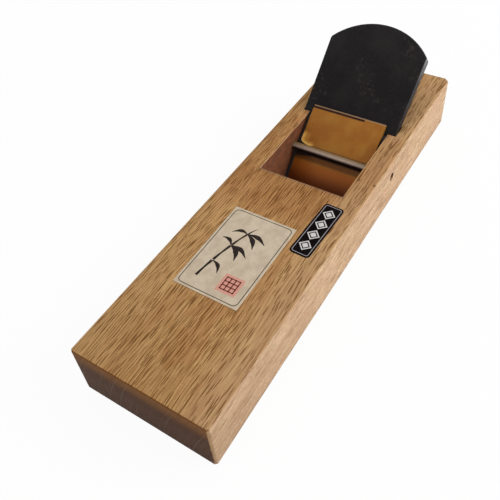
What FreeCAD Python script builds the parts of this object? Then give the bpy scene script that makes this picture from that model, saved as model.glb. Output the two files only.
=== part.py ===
import FreeCAD, Part

import math
import os

import Sketcher

# A Japanese wooden plane that is pulled towards its user. An oak block carries a
# thick tapered blade on a bed that rises eight in ten. A chipbreaker lies on the
# blade, and a steel bar across the throat holds it down.
#
# The frame: X runs along the block, from the leading end at -X to the end that is
# struck to free the blade at +X. Y runs across it and Z points up. The sole is at
# Z = 0, and the origin is at the middle of the sole.

SHEET_NAME = "Sizes"

# Driving dimensions, in millimetres or degrees.
DIMENSIONS = {
    "block_length": 324,
    "block_width": 90,
    "block_height": 39.5,
    "front_chamfer": 1.3,
    "rear_chamfer": 3,
    "top_chamfer": 0.6,
    "sole_chamfer": 1.8,
    "bed_rise": 8,
    "bed_run": 10,
    "bed_foot": 42.5,
    "lip_foot": 32.4,
    "wedge_angle": 1.25,
    "throat_width": 61.2,
    "groove_width": 72,
    "mouth_front": 31,
    "mouth_wall": 7,
    "throat_front": 9,
    "fit_gap": 0.2,
    "blade_edge": 6.1,
    "blade_shoulder": 112.1,
    "blade_edge_width": 68.4,
    "blade_head_width": 72.8,
    "blade_head_radius": 49,
    "blade_ear": 4.4,
    "blade_bevel": 29,
    "blade_edge_break": 0.9,
    "steel_thickness": 2.2,
    "steel_length": 58,
    "hollow_depth": 0.35,
    "hollow_land": 4.5,
    "hollow_length": 42,
    "breaker_width": 55.4,
    "breaker_edge": 3.3,
    "breaker_top": 67.1,
    "breaker_thickness": 3.3,
    "breaker_nose": 0.8,
    "breaker_break": 24,
    "breaker_chamfer": 1.3,
    "breaker_relief": 0.5,
    "breaker_ear": 9,
    "breaker_land": 9,
    "breaker_steel": 12,
    "breaker_steel_depth": 1.1,
    "pin_station": 34,
    "pin_diameter": 4.6,
    "pin_socket": 8,
    "pin_recess": 3,
    "pin_chamfer": 0.4,
    "label_centre": -63.6,
    "label_offset": 2.7,
    "label_length": 67.8,
    "label_width": 43.5,
    "label_turn": 0,
    "strip_centre": -23.6,
    "strip_offset": -29.7,
    "strip_length": 45.3,
    "strip_width": 13.4,
    "strip_turn": -2,
    "strip_corner": 2.4,
    "paper_thickness": 0.25,
}

# How far a cutting outline runs past the solid that it cuts.
CLEAR = 20

# Angles of the bed and of the blade's front face, as seen in the sheet's terms.
BED_ANGLE = "atan(Sizes.bed_rise / Sizes.bed_run)"
FRONT_ANGLE = f"({BED_ANGLE} + Sizes.wedge_angle * 1 deg)"

# Thickness of the blade at a station along the bed: the slot between the bed and
# the lip plane, less a gap on each side.
SLOT_RUN = "(Sizes.bed_foot - Sizes.lip_foot)"


def blade_thickness(station):
    """Return the expression of the blade's thickness at a station along the bed."""
    slot = f"{SLOT_RUN} * sin({BED_ANGLE})"
    growth = f"({station} + {SLOT_RUN} * cos({BED_ANGLE})) * tan(Sizes.wedge_angle * 1 deg)"
    return f"({slot} + {growth} - 2 * Sizes.fit_gap)"


def add_sheet(doc):
    """Add the spreadsheet that holds the driving dimensions."""
    sheet = doc.addObject("Spreadsheet::Sheet", SHEET_NAME)
    for row, (alias, value) in enumerate(DIMENSIONS.items(), start=1):
        sheet.set(f"A{row}", alias)
        sheet.set(f"B{row}", str(value))
        sheet.setAlias(f"B{row}", alias)
    doc.recompute()
    return sheet


def value_of(obj, expression):
    """Return the plain number that an expression gives."""
    result = obj.evalExpression(expression)
    return float(getattr(result, "Value", result))


def add_sketch(body, name, plane):
    """Add an empty sketch on one of the body's own origin planes."""
    sketch = body.newObject("Sketcher::SketchObject", name)
    for feature in body.Origin.OriginFeatures:
        if feature.Role == plane:
            sketch.AttachmentSupport = [(feature, "")]
    sketch.MapMode = "FlatFace"
    return sketch


def place_point(sketch, line, point, name, corner):
    """Hold one end of a line at a corner given by two expressions."""
    for kind, expression in zip(("DistanceX", "DistanceY"), corner):
        constraint = Sketcher.Constraint(kind, -1, 1, line, point, value_of(sketch, expression))
        index = sketch.addConstraint(constraint)
        label = f"{name}_{kind[-1]}"
        sketch.renameConstraint(index, label)
        sketch.setExpression(f"Constraints.{label}", expression)


def add_outline(body, name, plane, corners):
    """Add a sketch of straight sides through corners given as expressions."""
    sketch = add_sketch(body, name, plane)
    points = [[value_of(sketch, part) for part in corner] for corner in corners]
    for index, (x, y) in enumerate(points):
        following = points[(index + 1) % len(points)]
        side = Part.LineSegment(FreeCAD.Vector(x, y, 0), FreeCAD.Vector(*following, 0))
        sketch.addGeometry(side, False)
    for index, corner in enumerate(corners):
        sketch.addConstraint(Sketcher.Constraint("Coincident", index, 1, (index - 1) % len(corners), 2))
        place_point(sketch, index, 1, f"corner{index}", corner)
    return sketch


def add_rectangle(body, name, plane, middle, length, width):
    """Add a rectangle about a middle point, all given as expressions."""
    low_x, high_x = (f"{middle[0]} {sign} {length} / 2" for sign in "-+")
    low_y, high_y = (f"{middle[1]} {sign} {width} / 2" for sign in "-+")
    corners = [(low_x, low_y), (high_x, low_y), (high_x, high_y), (low_x, high_y)]
    return add_outline(body, name, plane, corners)


def add_circle(body, name, plane, centre, diameter):
    """Add a circle whose centre and diameter are expressions."""
    sketch = add_sketch(body, name, plane)
    x, y = (value_of(sketch, part) for part in centre)
    radius = value_of(sketch, diameter) / 2
    sketch.addGeometry(Part.Circle(FreeCAD.Vector(x, y, 0), FreeCAD.Vector(0, 0, 1), radius), False)
    place_point(sketch, 0, 3, "centre", centre)
    index = sketch.addConstraint(Sketcher.Constraint("Diameter", 0, 2 * radius))
    sketch.renameConstraint(index, "bore")
    sketch.setExpression("Constraints.bore", diameter)
    return sketch


def add_pad(body, name, sketch, length, symmetric=False):
    """Extrude a sketch by an expression, to one side or about its plane."""
    pad = body.newObject("PartDesign::Pad", name)
    pad.Profile = sketch
    pad.setExpression("Length", length)
    pad.SideType = "Symmetric" if symmetric else "One side"
    body.Document.recompute()
    return pad


def add_pocket(body, name, sketch, length, symmetric=False, reverse=False):
    """Cut a sketch out of the body and check that it removes something."""
    before = body.Shape.Volume
    pocket = body.newObject("PartDesign::Pocket", name)
    pocket.Profile = sketch
    pocket.setExpression("Length", length)
    pocket.SideType = "Symmetric" if symmetric else "One side"
    pocket.Reversed = reverse
    body.Document.recompute()
    if body.Shape.Volume >= before:
        raise RuntimeError(f"{body.Label}: {name} cuts nothing")
    return pocket


def add_chamfer(body, name, size, wanted):
    """Chamfer the edges of the body's tip that a test picks out."""
    tip = body.Tip
    edges = [f"Edge{n}" for n, edge in enumerate(tip.Shape.Edges, start=1) if wanted(edge)]
    chamfer = body.newObject("PartDesign::Chamfer", name)
    chamfer.Base = (tip, edges)
    chamfer.setExpression("Size", size)
    body.Document.recompute()
    return chamfer


def lies_on(axis, level):
    """Return a test for edges that lie in a plane square to an axis."""
    def test(edge):
        ends = [getattr(vertex.Point, axis) for vertex in edge.Vertexes]
        return all(abs(end - level) < 0.01 for end in ends)
    return test


def runs_along(axis):
    """Return a test for straight edges that run along an axis."""
    def test(edge):
        box = edge.BoundBox
        spans = {"x": box.XLength, "y": box.YLength, "z": box.ZLength}
        return spans.pop(axis) > 0.01 and max(spans.values()) < 0.01
    return test


def stands_at(end):
    """Return a test for upright edges at the +X end (1) or the -X end (-1)."""
    upright = runs_along("z")

    def test(edge):
        return upright(edge) and edge.Vertexes[0].Point.x * end > 0
    return test


def add_body(doc, name):
    """Add an empty body whose label names the sub-part."""
    body = doc.addObject("PartDesign::Body", name)
    body.Label = name
    return body


def set_on_slope(body, angle, base_x, rise):
    """Turn a body so that its X runs up a slope, and set its foot on the sole line."""
    angle_value = value_of(body, angle)
    turn = FreeCAD.Rotation(FreeCAD.Vector(0, 1, 0), -angle_value)
    body.Placement = FreeCAD.Placement(FreeCAD.Vector(0, 0, 0), turn)
    body.setExpression("Placement.Rotation.Angle", f"-{angle}")
    body.setExpression("Placement.Base.x", f"{base_x} - {rise} * sin({angle})")
    body.setExpression("Placement.Base.z", f"{rise} * cos({angle})")
    body.Document.recompute()


def line_point(foot, angle, height):
    """Return a corner on a sloping line that meets the sole at a foot."""
    return (f"{foot} + ({height}) / tan({angle})", height)


def pin_place():
    """Return the expressions of the bar's centre, tangent to the chipbreaker."""
    stand = "(Sizes.breaker_thickness + Sizes.fit_gap + Sizes.pin_diameter / 2)"
    x = f"Sizes.lip_foot + Sizes.pin_station * cos({FRONT_ANGLE}) - {stand} * sin({FRONT_ANGLE})"
    z = f"Sizes.pin_station * sin({FRONT_ANGLE}) + {stand} * cos({FRONT_ANGLE})"
    return x, z


def build_block(doc):
    """Build the oak block with its throat, blade grooves and bore for the bar."""
    body = add_body(doc, "plane_block")
    outline = add_rectangle(body, "BlockOutline", "XY_Plane", ("0", "0"),
                            "Sizes.block_length", "Sizes.block_width")
    add_pad(body, "BlockPad", outline, "Sizes.block_height")
    add_chamfer(body, "FrontChamfer", "Sizes.front_chamfer", stands_at(-1))
    add_chamfer(body, "RearChamfer", "Sizes.rear_chamfer", stands_at(1))
    add_chamfer(body, "TopChamfer", "Sizes.top_chamfer", lies_on("z", DIMENSIONS["block_height"]))
    add_chamfer(body, "SoleChamfer", "Sizes.sole_chamfer", lies_on("z", 0))

    over = f"(Sizes.block_height + {CLEAR})"
    throat = add_outline(body, "ThroatProfile", "XZ_Plane", [
        ("Sizes.mouth_front", f"-{CLEAR}"),
        ("Sizes.mouth_front", "Sizes.mouth_wall"),
        ("Sizes.throat_front", "Sizes.block_height"),
        ("Sizes.throat_front", over),
        line_point("Sizes.bed_foot", BED_ANGLE, over),
        line_point("Sizes.bed_foot", BED_ANGLE, f"-{CLEAR}"),
    ])
    add_pocket(body, "Throat", throat, "Sizes.throat_width", symmetric=True)

    grooves = add_outline(body, "GrooveProfile", "XZ_Plane", [
        line_point("Sizes.lip_foot", FRONT_ANGLE, f"-{CLEAR}"),
        line_point("Sizes.lip_foot", FRONT_ANGLE, over),
        line_point("Sizes.bed_foot", BED_ANGLE, over),
        line_point("Sizes.bed_foot", BED_ANGLE, f"-{CLEAR}"),
    ])
    add_pocket(body, "Grooves", grooves, "Sizes.groove_width", symmetric=True)

    # The bore runs right through the near cheek and stops inside the far one.
    near = add_circle(body, "NearBore", "XZ_Plane", pin_place(), "Sizes.pin_diameter")
    add_pocket(body, "BoreNear", near, "Sizes.block_width / 2", reverse=True)
    far = add_circle(body, "FarBore", "XZ_Plane", pin_place(), "Sizes.pin_diameter")
    add_pocket(body, "BoreFar", far, "Sizes.throat_width / 2 + Sizes.pin_socket")
    return body


def build_pin(doc):
    """Build the bar that holds the chipbreaker down."""
    body = add_body(doc, "retaining_pin")
    outline = add_circle(body, "PinOutline", "XZ_Plane", pin_place(), "Sizes.pin_diameter")
    near = "(Sizes.block_width / 2 - Sizes.pin_recess)"
    far = "(Sizes.throat_width / 2 + Sizes.pin_socket)"
    add_pad(body, "PinPad", outline, f"{near} + {far}")
    body.setExpression("Placement.Base.y", far)
    add_chamfer(body, "PinChamfer", "Sizes.pin_chamfer", lambda edge: len(edge.Vertexes) == 1)
    return body


def blade_outline(body, name, top=None):
    """Draw the blade's face: ears at the edge, tapered sides and an arched head."""
    edge = "(-Sizes.blade_edge)"
    ear_top = f"({edge} + Sizes.blade_ear)"
    half_edge = "Sizes.blade_edge_width / 2"
    half_head = "Sizes.blade_head_width / 2"
    half_tip = f"({half_edge} - Sizes.blade_ear)"
    spread = f"(({half_head} - {half_edge}) / (Sizes.blade_shoulder + Sizes.blade_edge))"
    if top is not None:
        half_top = f"({half_edge} + {spread} * ({top} + Sizes.blade_edge))"
        return add_outline(body, name, "XY_Plane", [
            (edge, f"-{half_tip}"), (ear_top, f"-{half_edge}"), (top, f"-{half_top}"),
            (top, half_top), (ear_top, half_edge), (edge, half_tip),
        ])
    return add_outline(body, name, "XY_Plane", [
        (edge, f"-{half_tip}"), (ear_top, f"-{half_edge}"), ("Sizes.blade_shoulder", f"-{half_head}"),
        ("Sizes.blade_shoulder", half_head), (ear_top, half_edge), (edge, half_tip),
    ])


def add_head(body):
    """Add the arched head of the blade as a segment of a disc above the shoulder."""
    radius = value_of(body, "Sizes.blade_head_radius")
    half = value_of(body, "Sizes.blade_head_width / 2")
    shoulder = value_of(body, "Sizes.blade_shoulder")
    drop = math.sqrt(radius ** 2 - half ** 2)
    reach = math.asin(half / radius)
    sketch = add_sketch(body, "HeadOutline", "XY_Plane")
    centre = FreeCAD.Vector(shoulder - drop, 0, 0)
    circle = Part.Circle(centre, FreeCAD.Vector(0, 0, 1), radius)
    sketch.addGeometry(Part.ArcOfCircle(circle, -reach, reach), False)
    chord = Part.LineSegment(FreeCAD.Vector(shoulder, half, 0), FreeCAD.Vector(shoulder, -half, 0))
    sketch.addGeometry(chord, False)
    sketch.addConstraint(Sketcher.Constraint("Coincident", 0, 2, 1, 1))
    sketch.addConstraint(Sketcher.Constraint("Coincident", 0, 1, 1, 2))
    place_point(sketch, 1, 1, "right", ("Sizes.blade_shoulder", "Sizes.blade_head_width / 2"))
    place_point(sketch, 1, 2, "left", ("Sizes.blade_shoulder", "-Sizes.blade_head_width / 2"))
    index = sketch.addConstraint(Sketcher.Constraint("Radius", 0, radius))
    sketch.renameConstraint(index, "arch")
    sketch.setExpression("Constraints.arch", "Sizes.blade_head_radius")
    return add_pad(body, "HeadPad", sketch, f"{blade_thickness('Sizes.blade_shoulder')} + {CLEAR}")


def cut_wedge(body, name, drop="0"):
    """Cut away all that lies above the blade's front face, lowered by a drop."""
    low = "(-Sizes.blade_edge - 5)"
    high = "(Sizes.blade_shoulder + Sizes.blade_head_radius)"
    top = f"({blade_thickness(high)} + 2 * {CLEAR})"
    profile = add_outline(body, name + "Profile", "XZ_Plane", [
        (low, f"{blade_thickness(low)} - {drop}"), (high, f"{blade_thickness(high)} - {drop}"),
        (high, top), (low, top),
    ])
    return add_pocket(body, name, profile, "2 * Sizes.blade_head_width", symmetric=True)


def cut_bevel(body):
    """Grind the bevel on the side that lies on the bed."""
    edge = "(-Sizes.blade_edge)"
    tip = blade_thickness(edge)
    heel = f"({edge} + {tip} / tan(Sizes.blade_bevel * 1 deg))"
    beyond = f"({edge} - 5)"
    profile = add_outline(body, "BevelProfile", "XZ_Plane", [
        (edge, tip), (heel, "0"), (heel, "-5"), (beyond, "-5"), (beyond, tip),
    ])
    return add_pocket(body, "Bevel", profile, "2 * Sizes.blade_head_width", symmetric=True)


def build_blade_iron(doc):
    """Build the soft iron body of the blade, with the seat for its steel."""
    body = add_body(doc, "blade_iron")
    outline = blade_outline(body, "BladeOutline")
    add_pad(body, "BladePad", outline, f"{blade_thickness('Sizes.blade_shoulder')} + {CLEAR}")
    add_head(body)
    cut_wedge(body, "FrontFace")
    half = DIMENSIONS["blade_head_width"] / 2
    shoulder = DIMENSIONS["blade_shoulder"]

    def on_head(edge):
        """Pick the arched edges of the head, on both faces."""
        middle = edge.CenterOfMass
        return middle.x > shoulder and abs(middle.y) < half / 2 and len(edge.Vertexes) == 2

    add_chamfer(body, "HeadChamfer", "Sizes.blade_edge_break", on_head)
    cut_bevel(body)
    low = "(-Sizes.blade_edge - 5)"
    high = "(Sizes.steel_length - Sizes.blade_edge)"
    seat = add_outline(body, "SteelSeatProfile", "XZ_Plane", [
        (low, f"{blade_thickness(low)} - Sizes.steel_thickness"),
        (high, f"{blade_thickness(high)} - Sizes.steel_thickness"),
        (high, f"{blade_thickness(high)} + {CLEAR}"), (low, f"{blade_thickness(low)} + {CLEAR}"),
    ])
    add_pocket(body, "SteelSeat", seat, "2 * Sizes.blade_head_width", symmetric=True)
    set_on_slope(body, BED_ANGLE, "Sizes.bed_foot", "Sizes.fit_gap")
    return body


def build_blade_steel(doc):
    """Build the hard steel face of the blade, with the hollow ground in it."""
    body = add_body(doc, "blade_steel")
    top = "(Sizes.steel_length - Sizes.blade_edge)"
    outline = blade_outline(body, "SteelOutline", top)
    add_pad(body, "SteelPad", outline, f"{blade_thickness(top)} + {CLEAR}")
    cut_wedge(body, "FrontFace")
    low = "(-Sizes.blade_edge - 5)"
    under = add_outline(body, "UnderProfile", "XZ_Plane", [
        (low, f"{blade_thickness(low)} - Sizes.steel_thickness"),
        (top, f"{blade_thickness(top)} - Sizes.steel_thickness"), (top, "-5"), (low, "-5"),
    ])
    add_pocket(body, "Under", under, "2 * Sizes.blade_head_width", symmetric=True)
    cut_bevel(body)

    # The hollow follows the front face, so its floor is cut from the side profile.
    start = "(Sizes.hollow_land - Sizes.blade_edge)"
    end = f"({start} + Sizes.hollow_length)"
    hollow = add_outline(body, "HollowProfile", "XZ_Plane", [
        (start, f"{blade_thickness(start)} - Sizes.hollow_depth"),
        (end, f"{blade_thickness(end)} - Sizes.hollow_depth"),
        (end, f"{blade_thickness(end)} + 5"), (start, f"{blade_thickness(start)} + 5"),
    ])
    add_pocket(body, "Hollow", hollow, "Sizes.blade_edge_width - 4 * Sizes.hollow_land", symmetric=True)
    set_on_slope(body, BED_ANGLE, "Sizes.bed_foot", "Sizes.fit_gap")
    return body


def breaker_profile(body, name):
    """Draw the chipbreaker's side: a flat plate, its nose and the top chamfer."""
    edge = "Sizes.breaker_edge"
    top = "Sizes.breaker_top"
    thick = "Sizes.breaker_thickness"
    return add_outline(body, name, "XZ_Plane", [
        (edge, "0"), (edge, "Sizes.breaker_nose"), ("Sizes.breaker_break", thick),
        (f"{top} - Sizes.breaker_chamfer", thick), (top, f"{thick} - Sizes.breaker_chamfer"),
        (top, "0"),
    ])


def steel_step(body, name, above):
    """Draw the region over or under the chipbreaker's steel strip."""
    low = "(Sizes.breaker_edge - 5)"
    high = "(Sizes.breaker_edge + Sizes.breaker_steel)"
    depth = "Sizes.breaker_steel_depth"
    if above:
        return add_outline(body, name, "XZ_Plane", [
            (low, depth), (high, depth), (high, "-5"), (low, "-5"),
        ])
    far = f"(Sizes.breaker_top + {CLEAR})"
    return add_outline(body, name, "XZ_Plane", [
        (low, depth), (high, depth), (high, "-5"), (far, "-5"), (far, f"{CLEAR}"), (low, f"{CLEAR}"),
    ])


def build_breaker_iron(doc):
    """Build the chipbreaker's iron plate, relieved behind between its ears."""
    body = add_body(doc, "chipbreaker_iron")
    add_pad(body, "PlatePad", breaker_profile(body, "PlateProfile"),
            "Sizes.breaker_width", symmetric=True)
    relief = add_outline(body, "ReliefOutline", "XY_Plane", [
        ("(Sizes.breaker_edge + Sizes.breaker_steel)", "-(Sizes.breaker_width / 2 + 5)"),
        ("(Sizes.breaker_top - Sizes.breaker_land)", "-(Sizes.breaker_width / 2 + 5)"),
        ("(Sizes.breaker_top - Sizes.breaker_land)", "-(Sizes.breaker_width / 2 - Sizes.breaker_ear)"),
        ("(Sizes.breaker_top + 5)", "-(Sizes.breaker_width / 2 - Sizes.breaker_ear)"),
        ("(Sizes.breaker_top + 5)", "(Sizes.breaker_width / 2 - Sizes.breaker_ear)"),
        ("(Sizes.breaker_top - Sizes.breaker_land)", "(Sizes.breaker_width / 2 - Sizes.breaker_ear)"),
        ("(Sizes.breaker_top - Sizes.breaker_land)", "(Sizes.breaker_width / 2 + 5)"),
        ("(Sizes.breaker_edge + Sizes.breaker_steel)", "(Sizes.breaker_width / 2 + 5)"),
    ])
    add_pocket(body, "Relief", relief, "Sizes.breaker_relief", reverse=True)
    seat = steel_step(body, "SteelSeatProfile", above=True)
    add_pocket(body, "SteelSeat", seat, "2 * Sizes.breaker_width", symmetric=True)
    set_on_slope(body, FRONT_ANGLE, "Sizes.lip_foot", "0")
    return body


def build_breaker_steel(doc):
    """Build the hard steel strip along the chipbreaker's edge."""
    body = add_body(doc, "chipbreaker_steel")
    add_pad(body, "StripPad", breaker_profile(body, "StripProfile"),
            "Sizes.breaker_width", symmetric=True)
    rest = steel_step(body, "RestProfile", above=False)
    add_pocket(body, "Rest", rest, "2 * Sizes.breaker_width", symmetric=True)
    set_on_slope(body, FRONT_ANGLE, "Sizes.lip_foot", "0")
    return body


def build_label(doc, name, part):
    """Build a thin paper label, pasted on the block's top face at its own slight turn."""
    body = add_body(doc, name)
    outline = add_rectangle(body, "LabelOutline", "XY_Plane", ("0", "0"),
                            f"Sizes.{part}_length", f"Sizes.{part}_width")
    add_pad(body, "LabelPad", outline, "Sizes.paper_thickness")
    turn = FreeCAD.Rotation(FreeCAD.Vector(0, 0, 1), value_of(body, f"Sizes.{part}_turn"))
    body.Placement = FreeCAD.Placement(FreeCAD.Vector(0, 0, 0), turn)
    body.setExpression("Placement.Rotation.Angle", f"Sizes.{part}_turn * 1 deg")
    body.setExpression("Placement.Base.x", f"Sizes.{part}_centre")
    body.setExpression("Placement.Base.y", f"Sizes.{part}_offset")
    body.setExpression("Placement.Base.z", "Sizes.block_height")
    return body


def build_strip(doc):
    """Build the dark strip label, with its four corners rounded."""
    body = build_label(doc, "strip_label", "strip")
    tip = body.Tip
    upright = runs_along("z")
    edges = [f"Edge{n}" for n, edge in enumerate(tip.Shape.Edges, start=1) if upright(edge)]
    fillet = body.newObject("PartDesign::Fillet", "Corners")
    fillet.Base = (tip, edges)
    fillet.setExpression("Radius", "Sizes.strip_corner")
    doc.recompute()
    return body


def check_and_export(doc, bodies):
    """Stop on any failed object or bad solid, then write one file per sub-part."""
    doc.recompute()
    for obj in doc.Objects:
        if {"Invalid", "Error"} & set(obj.State):
            raise RuntimeError(f"{obj.Label} failed: {obj.State}")
    for body in bodies:
        shape = body.Shape
        if shape.isNull() or not shape.isValid() or len(shape.Solids) != 1:
            raise RuntimeError(f"{body.Label} is not one valid solid")
    os.makedirs("parts", exist_ok=True)
    for body in bodies:
        box = body.Shape.BoundBox
        body.Shape.exportStep(f"parts/{body.Label}.step")
        print(f"{body.Label}: {body.Shape.Volume:.0f} mm3, X {box.XMin:.2f}..{box.XMax:.2f}, "
              f"Y {box.YMin:.2f}..{box.YMax:.2f}, Z {box.ZMin:.2f}..{box.ZMax:.2f}")


def main():
    """Build every sub-part of the plane and write it."""
    doc = FreeCAD.newDocument("kanna")
    add_sheet(doc)
    bodies = [
        build_block(doc),
        build_pin(doc),
        build_blade_iron(doc),
        build_blade_steel(doc),
        build_breaker_iron(doc),
        build_breaker_steel(doc),
        build_label(doc, "paper_label", "label"),
        build_strip(doc),
    ]
    check_and_export(doc, bodies)


main()
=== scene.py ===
"""The looks of a pull plane: an oak block, a forged blade, a lacquered chipbreaker and two labels.

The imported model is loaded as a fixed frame. Every piece is shaped in the same frame: X runs along the
block from its front end to its struck end, Y across it and Z up from the sole. Sizes are in metres,
and the shaders measure in millimetres.
"""

import logging
import math
from collections.abc import Callable, Sequence
from dataclasses import dataclass
from enum import Enum

import bmesh
import bpy
from mathutils import Matrix, Quaternion, Vector


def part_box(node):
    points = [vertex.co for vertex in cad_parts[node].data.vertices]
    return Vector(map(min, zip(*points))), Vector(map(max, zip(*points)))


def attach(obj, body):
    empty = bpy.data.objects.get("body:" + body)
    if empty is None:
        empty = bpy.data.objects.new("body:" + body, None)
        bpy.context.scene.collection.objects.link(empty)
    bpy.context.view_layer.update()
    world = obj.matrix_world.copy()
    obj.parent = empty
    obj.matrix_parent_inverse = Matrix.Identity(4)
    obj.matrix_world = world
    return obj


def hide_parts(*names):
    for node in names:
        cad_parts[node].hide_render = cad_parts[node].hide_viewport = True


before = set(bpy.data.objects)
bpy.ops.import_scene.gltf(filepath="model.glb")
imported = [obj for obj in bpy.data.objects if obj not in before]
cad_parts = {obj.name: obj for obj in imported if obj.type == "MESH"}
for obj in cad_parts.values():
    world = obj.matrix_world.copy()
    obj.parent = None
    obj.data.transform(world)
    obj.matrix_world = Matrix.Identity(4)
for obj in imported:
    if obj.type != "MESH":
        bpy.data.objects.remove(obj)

MM = 0.001
log = logging.getLogger("pull_plane")

Colour = tuple[float, float, float]
Point = tuple[float, float, float]
Spot = tuple[float, float]
Piece = bpy.types.Object
Material = bpy.types.Material
Tree = bpy.types.NodeTree
Socket = bpy.types.NodeSocket

# The blade's front face: where it meets the sole, in millimetres, and how it climbs along X and Z.
LIP_X = 32.4
SLOPE = math.atan(0.8366)
CLIMB, LIFT = math.cos(SLOPE), math.sin(SLOPE)


class Slot(Enum):
    """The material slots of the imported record."""

    OAK = "oak"
    BAR = "bar_steel"
    SCALE = "forge_scale"
    EDGE = "edge_steel"
    LACQUER = "gold_lacquer"
    LACQUERED_EDGE = "breaker_edge_steel"
    PAPER = "label_paper"
    STRIP = "strip_paper"


class Body(Enum):
    """The bodies that move against each other."""

    BLOCK = "block"
    BLADE = "blade"
    BREAKER = "chipbreaker"


# Shader building


class Term:
    """A number on its way through a shader. Arithmetic on it adds Math nodes."""

    def __init__(self, tree: Tree, socket: Socket) -> None:
        """Wraps one output socket of the tree."""
        self.tree = tree
        self.socket = socket

    def _math(self, operation: str, first: "Term | float", second: "Term | float" = 0.0) -> "Term":
        """Adds one Math node.

        Args:
            operation: Blender's name of the operation.
            first: the left-hand value.
            second: the right-hand value, which operations on one value leave unused.

        Returns:
            The node's result.
        """
        node = self.tree.nodes.new("ShaderNodeMath")
        node.operation = operation
        for place, value in enumerate((first, second)):
            if isinstance(value, Term):
                self.tree.links.new(value.socket, node.inputs[place])
            else:
                node.inputs[place].default_value = value
        return Term(self.tree, node.outputs[0])

    def __add__(self, other: "Term | float") -> "Term":
        """Returns the sum."""
        return self._math("ADD", self, other)

    __radd__ = __add__

    def __sub__(self, other: "Term | float") -> "Term":
        """Returns the difference."""
        return self._math("SUBTRACT", self, other)

    def __rsub__(self, other: float) -> "Term":
        """Returns a plain number less this term."""
        return self._math("SUBTRACT", other, self)

    def __mul__(self, other: "Term | float") -> "Term":
        """Returns the product."""
        return self._math("MULTIPLY", self, other)

    __rmul__ = __mul__

    def __truediv__(self, other: "Term | float") -> "Term":
        """Returns the quotient."""
        return self._math("DIVIDE", self, other)

    def __abs__(self) -> "Term":
        """Returns the size without the sign."""
        return self._math("ABSOLUTE", self)

    def __or__(self, other: "Term | float") -> "Term":
        """Returns the larger of the two: where either mask is set."""
        return self._math("MAXIMUM", self, other)

    def __and__(self, other: "Term | float") -> "Term":
        """Returns the smaller of the two: where both masks are set."""
        return self._math("MINIMUM", self, other)

    def root(self) -> "Term":
        """Returns the square root."""
        return self._math("SQRT", self)

    def wave(self) -> "Term":
        """Returns a cosine of one turn for each unit, from 0 to 1."""
        return self._math("COSINE", self * math.tau) * 0.5 + 0.5

    def rise(self, low: float, high: float) -> "Term":
        """Returns a smooth step.

        Args:
            low: where the step is still 0.
            high: where the step has reached 1. It may be the smaller of the two, for a step down.

        Returns:
            The step, from 0 to 1.
        """
        if low > high:
            return 1.0 - self.rise(high, low)
        node = self.tree.nodes.new("ShaderNodeMapRange")
        node.interpolation_type = "SMOOTHSTEP"
        self.tree.links.new(self.socket, node.inputs["Value"])
        node.inputs["From Min"].default_value = low
        node.inputs["From Max"].default_value = high
        return Term(self.tree, node.outputs["Result"])

    def within(self, start: Spot, end: Spot) -> "Term":
        """Returns a band, which rises across the numbers of its start and falls across those of its end."""
        return self.rise(*start) & self.rise(end[1], end[0])

    def away(self, other: "Term") -> "Term":
        """Returns the distance from the point where this term and another across it are both 0."""
        return (self * self + other * other).root()


@dataclass(frozen=True)
class Patch:
    """Clouds of a tint over a colour.

    The size is their grain along X, Y and Z in millimetres. The tint grows from the pattern's first level
    to its second, up to its strength. Detail and rough say how many finer layers there are, and how strong.
    """

    size: Point
    levels: Spot
    strength: float
    tint: Colour
    detail: float = 2.0
    rough: float = 0.5


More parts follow.
